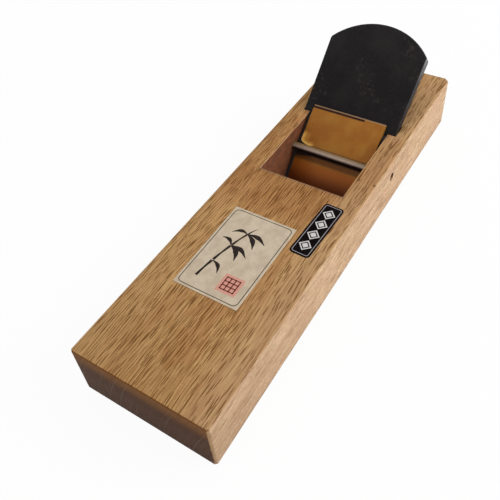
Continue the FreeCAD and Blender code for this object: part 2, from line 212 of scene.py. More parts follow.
class Shader:
    """One material while it is being written: its node tree and the coordinates that its pattern reads."""

    def __init__(self, name: str) -> None:
        """Makes an empty material with one Principled shader."""
        self.material = bpy.data.materials.new(name)
        self.material.use_nodes = True
        self.tree = self.material.node_tree
        self.surface = self.tree.nodes["Principled BSDF"]
        place = self.node("ShaderNodeTexCoord")
        metres = {"Vector": place.outputs["Object"], "Scale": 1 / MM}
        scaled = self.node("ShaderNodeVectorMath", {"operation": "SCALE"}, metres)
        self.place = scaled.outputs["Vector"]
        self.x, self.y, self.z = self._parts(self.place)
        self.facing_x, self.facing_y, self.facing_z = self._parts(place.outputs["Normal"])

    def node(self, kind: str, settings: dict | None = None, inputs: dict | None = None) -> bpy.types.Node:
        """Adds a node of any type.

        Args:
            kind: Blender's name of the node's type.
            settings: its properties, set before its sockets.
            inputs: a value, a Term or a link for each named or numbered socket.

        Returns:
            The node.
        """
        node = self.tree.nodes.new(kind)
        for name, value in (settings or {}).items():
            setattr(node, name, value)
        for name, value in (inputs or {}).items():
            self.feed(node.inputs[name], value)
        return node

    def feed(self, socket: Socket, value: object) -> None:
        """Sets a socket.

        Args:
            socket: the input that receives the value.
            value: a Term, an output socket, a number, or a colour of three or four numbers.
        """
        if isinstance(value, Term):
            value = value.socket
        if isinstance(value, Socket):
            self.tree.links.new(value, socket)
        elif socket.type == "RGBA" and len(value) == 3:
            socket.default_value = (*value, 1.0)
        else:
            socket.default_value = value

    def _parts(self, vector: Socket) -> tuple[Term, Term, Term]:
        """Returns the three numbers of a vector."""
        outputs = self.node("ShaderNodeSeparateXYZ", inputs={"Vector": vector}).outputs
        return tuple(Term(self.tree, socket) for socket in outputs)

    def point(self, x: Term | float, y: Term | float, z: Term | float) -> Socket:
        """Returns a vector made of three numbers."""
        return self.node("ShaderNodeCombineXYZ", inputs={"X": x, "Y": y, "Z": z}).outputs["Vector"]

    def stretched(self, size: Point, place: Socket | None = None) -> Socket:
        """Scales the coordinates for a pattern.

        Args:
            size: how many millimetres one unit of the pattern takes along X, Y and Z.
            place: the coordinates to scale, or None for the object's own.

        Returns:
            The scaled coordinates.
        """
        inputs = {0: place or self.place, 1: size}
        return self.node("ShaderNodeVectorMath", {"operation": "DIVIDE"}, inputs).outputs["Vector"]

    def noise(
        self, size: Point, detail: float = 2.0, rough: float = 0.5, place: Socket | None = None
    ) -> Term:
        """Adds a cloudy pattern.

        Args:
            size: the grain of the pattern along X, Y and Z, in millimetres.
            detail: how many finer layers it has.
            rough: how strong the finer layers are.
            place: the coordinates that it reads, or None for the object's own.

        Returns:
            The pattern, around 0.5.
        """
        inputs = {"Vector": self.stretched(size, place), "Scale": 1.0, "Detail": detail, "Roughness": rough}
        node = self.node("ShaderNodeTexNoise", {"noise_dimensions": "3D"}, inputs)
        return Term(self.tree, node.outputs[0])

    def cells(self, size: Point, place: Socket | None = None) -> Term:
        """Adds scattered points.

        Args:
            size: the spacing of the points along X, Y and Z, in millimetres.
            place: the coordinates that it reads, or None for the object's own.

        Returns:
            The distance to the nearest point, in units of the spacing.
        """
        inputs = {"Vector": self.stretched(size, place), "Scale": 1.0}
        node = self.node("ShaderNodeTexVoronoi", {"feature": "F1"}, inputs)
        return Term(self.tree, node.outputs["Distance"])

    def mix(self, share: Term, start: object, end: object, blend: str = "MIX") -> Socket:
        """Mixes two colours.

        Args:
            share: how much of the second colour shows.
            start: the first colour, as three numbers or a link.
            end: the second colour, as three numbers or a link.
            blend: Blender's name of the blending mode.

        Returns:
            The mixed colour.
        """
        settings = {"data_type": "RGBA", "blend_type": blend, "clamp_factor": True}
        return self.node("ShaderNodeMix", settings, {0: share, 6: start, 7: end}).outputs[2]

    def coated(self, colour: object, *coats: "Patch | tuple[Term, object]") -> Socket:
        """Lays coats over a colour, one after the other.

        Args:
            colour: the colour below them, as three numbers or a link.
            coats: clouds of a tint, or pairs of a share and the colour that shows there.

        Returns:
            The colour with the coats on it.
        """
        for coat in coats:
            if isinstance(coat, Patch):
                cloud = self.noise(coat.size, coat.detail, coat.rough).rise(*coat.levels)
                coat = (cloud * coat.strength, coat.tint)
            share, cover = coat
            colour = self.mix(share, colour, cover)
        return colour

    def bump(self, height: Term, depth: float, strength: float) -> Socket:
        """Turns a height into a bumped normal.

        Args:
            height: the pattern, from 0 to 1.
            depth: how high 1 stands, in millimetres.
            strength: how strongly the bump shows.

        Returns:
            The normal.
        """
        inputs = {"Height": height, "Distance": depth * MM, "Strength": strength}
        return self.node("ShaderNodeBump", inputs=inputs).outputs["Normal"]

    def finish(self, **values: object) -> Material:
        """Feeds the Principled shader.

        Args:
            values: a value or a link for each of its sockets, with _ for each space in the socket's name.

        Returns:
            The finished material.
        """
        for name, value in values.items():
            words = name.replace("_", " ").title().replace("Ior", "IOR")
            self.feed(self.surface.inputs[words], value)
        return self.material


# Finishes


@dataclass(frozen=True)
class Oak:
    """Planed oak whose rings lie along the sole and whose rays stand upright in the block."""

    late: Colour = (0.372, 0.194, 0.068)
    pale: Colour = (0.600, 0.360, 0.156)
    bleached: Colour = (0.540, 0.375, 0.225)
    warm: Colour = (0.370, 0.160, 0.060)
    early: Colour = (0.290, 0.142, 0.046)
    pore: Colour = (0.132, 0.050, 0.009)
    handled: Colour = (0.80, 0.68, 0.60)
    cheek: Colour = (0.92, 0.86, 0.82)
    greyed: Colour = (0.200, 0.120, 0.075)
    pit: Colour = (0.070, 0.028, 0.010)
    side: Colour = (0.540, 0.350, 0.205)
    side_pale: Colour = (0.770, 0.560, 0.365)
    side_rosy: Colour = (0.650, 0.415, 0.270)
    side_dark: Colour = (0.290, 0.160, 0.080)
    fleck: Colour = (0.225, 0.118, 0.058)
    bore_shade: Colour = (0.030, 0.013, 0.006)
    end: Colour = (0.098, 0.048, 0.027)
    end_low: Colour = (0.066, 0.026, 0.010)
    end_high: Colour = (0.285, 0.125, 0.042)
    end_ring: Colour = (0.060, 0.032, 0.022)
    end_streak: Colour = (0.135, 0.064, 0.042)
    end_line: Colour = (0.260, 0.185, 0.135)
    chamfer: Colour = (0.165, 0.055, 0.013)
    throat: Colour = (0.175, 0.050, 0.018)
    throat_dark: Colour = (0.105, 0.030, 0.014)
    throat_dash: Colour = (0.070, 0.022, 0.012)
    ring_width: float = 1.50
    pith: Spot = (-96.0, 96.0)
    pits: tuple[Spot, ...] = ((28.2, -32.6), (27.6, -43.8))
    pit_size: Spot = (1.5, 0.9)
    bore: Spot = (55.3, 25.7)
    throat_half: float = 30.6
    groove_half: float = 36.0

    def material(self) -> Material:
        """Returns the wood: three cuts of one solid grain."""
        s = Shader("oak")
        y = s.y + (s.noise((120, 45, 45), 1.0) - 0.5) * 9.0 + (s.noise((17, 6, 17), 1.0) - 0.5) * 1.1
        grain = s.point(s.x, y, s.z)
        across, up = y - self.pith[0], s.z - self.pith[1]
        ring = ((across.away(up) + (s.noise((90, 12, 12), 2.0) - 0.5) * 2.4) / self.ring_width).wave()
        dashes = (s.cells((15, 0.95, 46), grain) + s.noise((30, 12, 30)) * 0.20).rise(0.45, 0.35)

        on_side = abs(s.facing_y).rise(0.5, 0.9)
        on_end = abs(s.facing_x).rise(0.86, 0.95)
        on_edge = abs(s.facing_x).rise(0.35, 0.6) & s.facing_z.rise(0.3, 0.5)
        colour = s.coated(
            self.top_cut(s, grain, ring, dashes),
            (on_side, self.side_cut(s, ring)),
            (on_edge * 0.8, self.chamfer),
            (on_end, self.end_cut(s, ring)),
            # painted shade on the walls of the throat and of the blade's grooves
            (self.well(s) * 0.92, self.throat_shade(s, dashes)),
        )
        fine = s.noise((8, 0.4, 0.4), 3.0, 0.6, grain)
        return s.finish(
            base_color=colour,
            roughness=0.56 + fine * 0.12,
            normal=s.bump(fine * 0.5 - dashes * 0.8, 0.14, 0.6),
            specular_ior_level=0.04,
        )

    def top_cut(self, s: Shader, grain: Socket, ring: Term, dashes: Term) -> Socket:
        """Colours the faces that lie along the rings.

        Args:
            s: the shader being written.
            grain: the coordinates bent by the tree's growth.
            ring: 1 in the middle of each ring's early wood.
            dashes: 1 where a pore or a ray comes out as a dark dash.

        Returns:
            The colour.
        """
        lines = s.noise((20, 0.62, 2.5), 2.0, 0.7, grain)
        strings = s.noise((60, 0.95, 3.5), 1.0, 0.6, grain).rise(0.50, 0.62)
        broken = s.noise((12, 1.0, 9), 1.0, 0.5, grain).rise(0.42, 0.56)
        fading = s.y.rise(-44.0, 6.0) * 0.28 + 0.30
        colour = s.coated(
            self.late,
            (lines.rise(0.36, 0.64), self.pale),
            Patch((60, 12, 14), (0.42, 0.66), 0.40, self.warm),
            Patch((11, 6, 11), (0.50, 0.68), 0.35, self.warm),
            Patch((0.95, 0.60, 0.60), (0.36, 0.68), 0.45, self.early, rough=0.8),
            (s.y.rise(-16.0, -40.0) * 0.30, self.bleached),
            ((s.y.rise(4.0, 36.0) & s.x.rise(12.0, -20.0)) * 0.45, self.pale),
            (ring.rise(0.64, 0.94) * (broken * fading + 0.06), self.pore),
            (strings * 0.16, self.pore),
            (dashes * (s.noise((20, 8, 20)) * 0.6 + 0.50), self.pore),
        )
        return self.wear(s, colour)

    def wear(self, s: Shader, colour: Socket) -> Socket:
        """Adds the marks of use round the throat, on the top face alone.

        Args:
            s: the shader being written.
            colour: the clean wood.

        Returns:
            The colour with the marks on it.
        """
        upper = s.z.rise(30.0, 34.0)
        touched = s.x.within((-42.0, -12.0), (6.0, 18.0)) & s.y.rise(-36.0, -20.0) & upper
        colour = s.mix(touched * 0.8, colour, self.handled, "MULTIPLY")
        cheeks = abs(s.y).rise(30.0, 33.0) & s.x.within((4.0, 26.0), (70.0, 86.0)) & upper
        colour = s.mix(cheeks, colour, self.cheek, "MULTIPLY")
        beside = abs(s.y).rise(self.throat_half + 1.6, self.throat_half)
        lip = s.x.within((6.4, 8.8), (11.0, 12.0)) & beside & upper
        colour = s.mix(lip * 0.55, colour, self.greyed)
        for pit_x, pit_y in self.pits:
            along, across = (s.x - pit_x) / self.pit_size[0], (s.y - pit_y) / self.pit_size[1]
            pit = (across * across + along * along).rise(1.2, 0.5) & upper
            colour = s.mix(pit * 0.65, colour, self.pit)
        return colour

    def side_cut(self, s: Shader, ring: Term) -> Socket:
        """Colours the faces that stand across the rings, with soft flecks where they split the rays.

        Args:
            s: the shader being written.
            ring: 1 in the middle of each ring's early wood.

        Returns:
            The colour.
        """
        flecks = (s.cells((17, 9, 2.6)) + s.noise((16, 8, 6), 2.0) * 0.40).rise(0.44, 0.34)
        pores = (s.cells((12, 9, 1.2)) + s.noise((8, 8, 3), 1.0) * 0.3).rise(0.48, 0.32)
        from_bore = (s.x - self.bore[0]).away(s.z - self.bore[1])
        # painted shade: a dark ring round the bar's bore on the -Y side, widening the dark hole
        bore_shaded = from_bore.rise(3.4, 2.7) & s.y.rise(-20.0, -30.0)
        return s.coated(
            self.side,
            Patch((26, 4, 3.0), (0.27, 0.73), 1.0, self.side_pale, 3.0, 0.6),
            Patch((30, 9, 9), (0.42, 0.68), 0.70, self.side_rosy),
            Patch((52, 20, 16), (0.46, 0.66), 0.18, self.side_dark),
            Patch((30, 3, 1.5), (0.48, 0.70), 0.24, self.side_dark, rough=0.6),
            (ring.rise(0.4, 1.0) * 0.12, self.side_dark),
            Patch((2.2, 0.8, 0.8), (0.42, 0.64), 0.42, self.side_dark, rough=0.8),
            (pores * 0.50, self.side_dark),
            (flecks * 0.62, self.fleck),
            # painted shade: the sides are darker towards the front end
            (s.x.rise(-70.0, -140.0) * 0.16, self.side_dark),
            (bore_shaded * 0.92, self.bore_shade),
        )

    def end_cut(self, s: Shader, ring: Term) -> Socket:
        """Colours the two ends: dark, partly the end grain's own tone and partly painted shade, darker
        towards the bottom and lighter at the top, with the rings as bands and a few rays as thin pale
        lines.

        Args:
            s: the shader being written.
            ring: 1 in the middle of each ring's early wood.

        Returns:
            The colour.
        """
        slant = s.y + s.z * 0.42 + (s.z - 20.0) * (s.z - 20.0) * 0.004
        fan = s.point(s.x, slant, s.z)
        lines = s.noise((400, 0.7, 90), 2.0, 0.5, fan).rise(0.630, 0.690)
        streaks = s.noise((400, 1.6, 26), 3.0, 0.65, fan)
        return s.coated(
            self.end_low,
            (s.z.rise(2.0, 20.0), self.end),
            (s.z.rise(25.5, 37.5) * 0.9, self.end_high),
            (ring * 0.25, self.end_ring),
            (streaks.rise(0.45, 0.75) * 0.55, self.end_streak),
            (lines * 0.34, self.end_line),
        )

    def well(self, s: Shader) -> Term:
        """Finds the walls of the throat and of the blade's grooves.

        Args:
            s: the shader being written.

        Returns:
            1 inside, 0 outside.
        """
        throat = abs(s.y).rise(self.throat_half + 0.8, self.throat_half + 0.3)
        grooves = abs(s.y).rise(self.groove_half + 0.6, self.groove_half + 0.2) & s.x.rise(33.0, 38.0)
        reach = s.x.within((8.4, 9.4), (94.0, 99.0)) & s.z.within((0.2, 0.8), (38.6, 39.2))
        return (throat | grooves) & reach

    def throat_shade(self, s: Shader, dashes: Term) -> Socket:
        """Returns the colour of the walls in the throat and the grooves: reddish, and darkened as painted
        shade.
        """
        cloud = Patch((7, 5, 5), (0.35, 0.70), 1.0, self.throat_dark, 3.0, 0.6)
        return s.coated(self.throat, cloud, (dashes * 0.5, self.throat_dash))


@dataclass(frozen=True)
class ForgeScale:
    """Black scale left by the forge, with the narrow sides ground to grey."""

    scale: Colour = (0.0048, 0.0038, 0.0044)
    worn: Colour = (0.0110, 0.0086, 0.0086)
    grit: Colour = (0.018, 0.014, 0.015)
    scar: Colour = (0.031, 0.025, 0.023)
    ground: Colour = (0.30, 0.29, 0.29)

    def material(self) -> Material:
        """Returns the scale."""
        s = Shader("forge_scale")
        cloud = s.noise((22, 16, 22), 3.0, 0.6)
        patches = s.noise((17, 13, 17), 1.0).rise(0.50, 0.66)
        scars = s.noise((2.6, 2.6, 2.6), 2.0, 0.6).rise(0.50, 0.68) * patches
        grit = s.noise((1.1, 1.1, 1.1), 3.0, 0.75)
        dents = s.noise((4.2, 4.2, 4.2), 3.0, 0.6)
        # painted shade: the ground sides are painted darker towards the bottom, where they run into the
        # block
        high = s.z.rise(60.0, 80.0) * 0.75 + 0.06
        uneven = 0.5 + 0.5 * s.noise((6, 2, 6), 2.0).rise(0.3, 0.6)
        sides = abs(s.facing_y).rise(0.90, 0.97) * high * uneven
        colour = s.coated(
            self.scale,
            (cloud.rise(0.38, 0.70), self.worn),
            (grit.rise(0.46, 0.68) * 0.30, self.grit),
            (scars * 0.75, self.scar),
            (sides, self.ground),
        )
        return s.finish(
            base_color=colour,
            metallic=sides,
            roughness=0.60 - cloud * 0.10 - sides * 0.12,
            specular_ior_level=0.12,
            normal=s.bump(grit * 0.4 + dents + cloud * 0.6 - scars * 0.6, 0.50, 0.80),
        )


@dataclass(frozen=True)
class EdgeSteel:
    """Hard steel: ground bright at the cutting edge, dark with scale above it."""

    bright: Colour = (0.55, 0.55, 0.56)
    scratched: Colour = (0.36, 0.36, 0.38)
    dark: Colour = (0.020, 0.019, 0.020)
    bright_height: float = 4.5

    def material(self) -> Material:
        """Returns the steel."""
        s = Shader("edge_steel")
        scratches = s.noise((4.0, 0.25, 4.0), 3.0, 0.7)
        height = s.z + (s.noise((5, 5, 5)) - 0.5) * 3.0
        worn = height.rise(self.bright_height + 2.0, self.bright_height - 1.0)
        scratched = (scratches.rise(0.3, 0.8) * 0.4, self.scratched)
        return s.finish(
            base_color=s.coated(self.bright, scratched, (1.0 - worn, self.dark)),
            metallic=0.3 + worn * 0.7,
            roughness=0.55 - worn * 0.25 + scratches * 0.1,
            normal=s.bump(scratches, 0.02, 0.4),
        )


@dataclass(frozen=True)
class GoldLacquer:
    """Amber lacquer over bright iron, with painted highlights on its top edge and at one corner, and
    painted shade below the bar, round its left end and down the bevel.
    """

    name: str = "gold_lacquer"
    amber: Colour = (0.315, 0.126, 0.0145)
    orange: Colour = (0.262, 0.086, 0.0090)
    gold: Colour = (0.325, 0.145, 0.0200)
    brushed: Colour = (0.220, 0.075, 0.0120)
    lower_red: Colour = (0.320, 0.086, 0.0105)
    deeper_shade: Colour = (0.115, 0.026, 0.0045)
    pale_edge_highlight: Colour = (0.270, 0.165, 0.095)
    groove_shade: Colour = (0.040, 0.010, 0.003)
    shadow_fringe: Colour = (0.030, 0.008, 0.002)
    # worn: in this finish a painted highlight, brighter gold by the rounded corner
    worn: Colour = (0.520, 0.235, 0.040)
    rim_highlight: Colour = (0.920, 0.560, 0.135)
    painted_shade: Colour = (0.016, 0.009, 0.007)
    corner: Spot = (41.0, 20.3)
    corner_size: Spot = (4.1, 7.9)

    def material(self) -> Material:
        """Returns the lacquer. Most of its marks lie by their distance along the slope from the lip."""
        s = Shader(self.name)
        along = (s.x - LIP_X) * CLIMB + s.z * LIFT
        patches = s.noise((14, 11, 14), 3.0, 0.6)
        brushed = s.noise((12, 0.7, 12), 3.0, 0.65)
        blots = s.noise((5, 4, 5), 3.0, 0.65)
        flat = (s.facing_z * CLIMB - s.facing_x * LIFT).rise(0.90, 0.985)

        mottled = (patches * 0.6 + blots * 0.4).rise(0.38, 0.66)
        # painted shade: the line cut below the top edge is painted dark inside
        groove_shade = along.within((64.3, 64.6), (65.9, 66.2)) & s.y.rise(-12.6, -12.0)
        shade = (along + s.y.rise(13.0, 28.0) * 2.4).rise(29.4, 30.8) & along.rise(37.5, 35.5)

        from_along = (self.corner[0] - along) / self.corner_size[0] | 0.0
        from_across = (s.y - self.corner[1]) / self.corner_size[1] | 0.0
        reach = from_along.away(from_across) + (patches - 0.5) * 0.05
        by_corner = along.within((35.0, 37.0), (42.5, 47.5)) & s.y.rise(16.0, 21.0)
        # painted highlight: a bright yellow ring along the rounded corner
        rim_highlight = reach.rise(0.45, 0.92) & by_corner
        # painted shade and painted reflection: the plate is painted dark outside the rounded corner, round
        # the bar's left end
        corner_shade = reach.rise(0.98, 1.04) & along.rise(30.0, 31.5)

        colour = s.coated(
            self.orange,
            (mottled * 0.75 + 0.15, self.amber),
            Patch((18, 16, 18), (0.5, 0.7), 0.7, self.gold, 1.0),
            (brushed.rise(0.4, 0.75) * 0.25, self.brushed),
            # redder towards the lip, below the bar
            (along.rise(27.0, 22.0) * 0.85, self.lower_red),
            # painted shade: darker down the bevel, deeper in the throat
            (along.rise(23.5, 10.0) * 0.97, self.deeper_shade),
            (1.0 - flat, self.gold),
            # painted highlight: the top edge and the end face are painted pale
            (along.rise(65.9, 66.3), self.pale_edge_highlight),
            (groove_shade, self.groove_shade),
            # painted shadow: the brown fringe of the bar's shadow, below its dark core
            (along.within((24.8, 27.2), (35.5, 37.5)) * 0.62, self.shadow_fringe),
            # painted shadow of the bar: a dark band across the plate just below it
            (shade * (s.y.rise(-20.0, 22.0) * 0.25 + 0.70), self.painted_shade),
            # painted highlight: brighter gold towards the rounded corner, beneath the bright ring
            ((reach.rise(0.02, 0.50) & by_corner) * 0.75, self.worn),
            (rim_highlight * 0.90, self.rim_highlight),
            (corner_shade, self.painted_shade),
        )
        return s.finish(
            base_color=colour,
            metallic=(0.45 - corner_shade * 0.45) & (0.45 - shade * 0.4) & (0.45 - rim_highlight * 0.45),
            roughness=0.42 + brushed * 0.12 + corner_shade * 0.15 + shade * 0.35,
            specular_ior_level=0.18,
            coat_weight=0.08 - shade * 0.08,
            coat_roughness=0.2,
            normal=s.bump(brushed * 0.3 + patches * 0.7, 0.06, 0.35),
        )


@dataclass(frozen=True)
class DrawnBar:
    """Drawn steel bar, brown above and painted pale below as painted light, with a painted shadow along its
    lowest edge, painted shade at its ends and fine marks along it.
    """

    middle: Spot
    radius: float
    upper_brown: Colour = (0.215, 0.128, 0.056)
    bright: Colour = (0.640, 0.530, 0.450)
    mark: Colour = (0.165, 0.140, 0.110)
    spot: Colour = (0.140, 0.100, 0.070)
    underside_shadow: Colour = (0.040, 0.022, 0.014)
    end: Colour = (0.005, 0.002, 0.001)
    upward: Spot = (0.689, 0.725)

    def material(self) -> Material:
        """Returns the steel, brown on the side that faces the chipbreaker, painted pale lower down and
        painted dark along its lowest edge as painted shadow.
        """
        s = Shader("bar_steel")
        marks = s.noise((0.35, 9, 0.35), 3.0, 0.7)
        beside, above = s.x - self.middle[0], s.z - self.middle[1]
        around = (beside * self.upward[0] + above * self.upward[1]) / self.radius
        # painted shade: both ends, inside the bores, are painted nearly black
        end = abs(s.y).rise(36.0, 37.5)
        colour = s.coated(
            self.upper_brown,
            # painted light: the bar is painted paler towards its underside, which the lamps leave in shade
            (around.rise(0.60, -0.40), self.bright),
            (marks.rise(0.3, 0.75) * 0.35, self.mark),
            Patch((3, 3, 3), (0.58, 0.75), 0.35, self.spot, 3.0, 0.7),
            # painted shadow: the lowest edge of the bar is painted dark
            (around.rise(-0.50, -0.76) * 0.92, self.underside_shadow),
            (end, self.end),
        )
        return s.finish(
            base_color=colour,
            metallic=0.45 - end * 0.45,
            roughness=0.50 + marks * 0.14 + end * 0.3,
            specular_ior_level=0.22,
            normal=s.bump(marks, 0.03, 0.4),
        )


@dataclass(frozen=True)
class Paper:
    """Matt paper with a mottled, slightly fibrous face."""

    name: str
    base: Colour
    mottle: Colour
    gloss: float = 0.08
    fibre_shade: float = 0.82

    def material(self) -> Material:
        """Returns the paper."""
        s = Shader(self.name)
        fibres = s.noise((2.0, 0.8, 2), 3.0, 0.75)
        cloud = Patch((7, 6, 6), (0.36, 0.66), 1.0, self.mottle, 4.0, 0.62)
        darker = tuple(self.fibre_shade * part for part in self.base)
        return s.finish(
            base_color=s.coated(self.base, cloud, (fibres.rise(0.46, 0.70) * 0.40, darker)),
            roughness=0.8,
            specular_ior_level=self.gloss,
            normal=s.bump(fibres, 0.03, 0.5),
        )


@dataclass(frozen=True)
class Print:
    """Ink or paint laid on the paper, a little uneven in strength."""

    name: str
    strong: Colour
    thin: Colour
    rough: float = 0.7

    def material(self) -> Material:
        """Returns the ink."""
        s = Shader(self.name)
        colour = s.coated(self.strong, Patch((1.4, 1.1, 1), (0.45, 0.75), 0.6, self.thin, 3.0, 0.7))
        return s.finish(base_color=colour, roughness=self.rough, specular_ior_level=0.06)


# Mesh tools


def only(piece: Piece) -> None:
    """Deselects everything and makes the piece the one selected, active object."""
    if bpy.context.object and bpy.context.object.mode != "OBJECT":
        bpy.ops.object.mode_set(mode="OBJECT")
    bpy.ops.object.select_all(action="DESELECT")
    piece.select_set(True)
    bpy.context.view_layer.objects.active = piece


def named(name: str) -> Piece:
    """Returns the object that an operator has just added, under its new name."""
    piece = bpy.context.object
    piece.name = piece.data.name = name
    return piece


def settle(piece: Piece) -> Piece:
    """Puts the piece's place into its mesh, so that its object sits unturned at the origin."""
    only(piece)
    bpy.ops.object.transform_apply(location=True, rotation=True, scale=True)
    return piece


def add_box(name: str, middle: Sequence[float], size: Sequence[float], tilt: float = 0.0) -> Piece:
    """Adds a box to be shaped.

    Args:
        name: the box's name.
        middle: where its middle lies.
        size: its size along X, Y and Z.
        tilt: how far its +X end is raised, in radians.

    Returns:
        The box, whose place is in its mesh.
    """
    bpy.ops.object.select_all(action="DESELECT")
    bpy.ops.mesh.primitive_cube_add(size=1, location=middle, rotation=(0, -tilt, 0), scale=size)
    return settle(named(name))


def finish_with(piece: Piece, kind: str, **settings: object) -> None:
    """Adds a modifier and applies it.

    Args:
        piece: the mesh object.
        kind: Blender's name of the modifier's type.
        settings: the modifier's properties.
    """
    only(piece)
    modifier = piece.modifiers.new(kind.title(), kind)
    for name, value in settings.items():
        setattr(modifier, name, value)
    bpy.ops.object.modifier_apply(modifier=modifier.name)


def round_edges(piece: Piece, width: float, above: float, steps: int = 2) -> None:
    """Rounds every edge that turns by more than an angle.

    Args:
        piece: the mesh object.
        width: how far the rounding reaches, in metres.
        above: the smallest turn that is rounded, in degrees.
        steps: how many faces it has.
    """
    finish_with(
        piece, "BEVEL", width=width, segments=steps, limit_method="ANGLE", angle_limit=math.radians(above),
        harden_normals=False, miter_outer="MITER_ARC",
    )


def smooth(piece: Piece, angle: float) -> None:
    """Shades the piece smooth, except where it turns by more than the angle in degrees."""
    only(piece)
    bpy.ops.object.shade_smooth_by_angle(angle=math.radians(angle))


def cut_away(piece: Piece, tool: Piece) -> None:
    """Cuts a closed tool out of the piece and removes the tool."""
    finish_with(piece, "BOOLEAN", operation="DIFFERENCE", object=tool, solver="EXACT")
    bpy.data.objects.remove(tool, do_unlink=True)


def copy_of(node: str, name: str) -> Piece:
    """Copies a solid of the frame and joins its loose triangles into clean faces.

    Args:
        node: the solid's name.
        name: the copy's name.

    Returns:
        The copy, which rides on nothing yet.
    """
    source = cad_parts[node]
    piece = bpy.data.objects.new(name, source.data.copy())
    piece.data.name = name
    piece.data.materials.clear()
    bpy.context.scene.collection.objects.link(piece)
    only(piece)
    bpy.ops.object.mode_set(mode="EDIT")
    bpy.ops.mesh.select_all(action="SELECT")
    bpy.ops.mesh.remove_doubles(threshold=0.002 * MM)
    bpy.ops.mesh.dissolve_limited(angle_limit=math.radians(0.4))
    bpy.ops.object.mode_set(mode="OBJECT")
    return piece


def select_parts(piece: Piece, kind: str, test: Callable[[object], bool]) -> None:
    """Selects faces or edges in edit mode.

    Args:
        piece: the mesh object, in edit mode.
        kind: FACE or EDGE.
        test: tells of one face or edge whether it is selected.
    """
    bpy.ops.mesh.select_mode(type=kind)
    bpy.ops.mesh.select_all(action="DESELECT")
    mesh = bmesh.from_edit_mesh(piece.data)
    for part in mesh.faces if kind == "FACE" else mesh.edges:
        part.select_set(test(part))
    bmesh.update_edit_mesh(piece.data)


def dress(piece: Piece, material: Material) -> None:
    """Gives the piece its material."""
    piece.data.materials.clear()
    piece.data.materials.append(material)


def place_piece(piece: Piece, body: Body, node: str) -> None:
    """Ties a finished piece to the frame.

    Args:
        piece: the piece, in its place.
        body: the body that it moves with.
        node: the solid of the frame that it stands for.
    """
    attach(piece, body.value)
    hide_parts(node)
    log.info("%s: %d faces, on %s", piece.name, len(piece.data.polygons), body.value)


# Sub-assemblies


@dataclass
class PlaneBlock:
    """The block: one piece of oak with the throat, the bed and the blade's grooves cut in it."""

    edge_round: float = 0.35 * MM
    finish: Oak = Oak()

    def shape(self) -> Piece:
        """Returns the block with its sharp edges eased by a plane stroke."""
        block = copy_of("plane_block", "oak_block")
        round_edges(block, self.edge_round, 20.0)
        smooth(block, 35.0)
        return block

    def build(self) -> None:
        """Shapes, dresses and places the block."""
        block = self.shape()
        dress(block, self.finish.material())
        place_piece(block, Body.BLOCK, "plane_block")


@dataclass
class RetainingPin:
    """The steel bar that holds the chipbreaker down."""

    centre: Point = (54.76 * MM, -1.7 * MM, 26.26 * MM)
    length: float = 80.6 * MM
    radius: float = 2.3 * MM
    end_chamfer: float = 0.5 * MM
    sides: int = 64

    def shape(self) -> Piece:
        """Returns the bar, turned up from a cylinder with both ends eased."""
        bpy.ops.object.select_all(action="DESELECT")
        bpy.ops.mesh.primitive_cylinder_add(
            vertices=self.sides, radius=self.radius, depth=self.length,
            location=self.centre, rotation=(math.pi / 2, 0, 0),
        )
        bar = settle(named("retaining_bar"))
        bpy.ops.object.mode_set(mode="EDIT")
        select_parts(bar, "FACE", lambda face: abs(face.normal.y) > 0.9)
        bpy.ops.mesh.bevel(offset=self.end_chamfer, segments=3, affect="EDGES")
        bpy.ops.mesh.select_all(action="SELECT")
        bpy.ops.mesh.normals_make_consistent(inside=False)
        bpy.ops.object.mode_set(mode="OBJECT")
        smooth(bar, 40.0)
        return bar

    def build(self) -> None:
        """Shapes, dresses and places the bar."""
        bar = self.shape()
        middle = (self.centre[0] / MM, self.centre[2] / MM)
        dress(bar, DrawnBar(middle, self.radius / MM).material())
        place_piece(bar, Body.BLOCK, "retaining_pin")


@dataclass
class Blade:
    """The blade: forged iron with a layer of hard steel welded to its front face."""

    edge_round: float = 0.7 * MM
    steel_round: float = 0.12 * MM

    def shape_iron(self) -> Piece:
        """Returns the iron with its forged edges rounded."""
        iron = copy_of("blade_iron", "forged_iron")
        round_edges(iron, self.edge_round, 35.0, 3)
        smooth(iron, 35.0)
        return iron

    def shape_steel(self) -> Piece:
        """Returns the steel, whose edges stay nearly sharp."""
        steel = copy_of("blade_steel", "hard_steel")
        round_edges(steel, self.steel_round, 35.0)
        smooth(steel, 25.0)
        return steel

    def build(self) -> None:
        """Shapes, dresses and places both layers."""
        iron, steel = self.shape_iron(), self.shape_steel()
        dress(iron, ForgeScale().material())
        dress(steel, EdgeSteel().material())
        place_piece(iron, Body.BLADE, "blade_iron")
        place_piece(steel, Body.BLADE, "blade_steel")


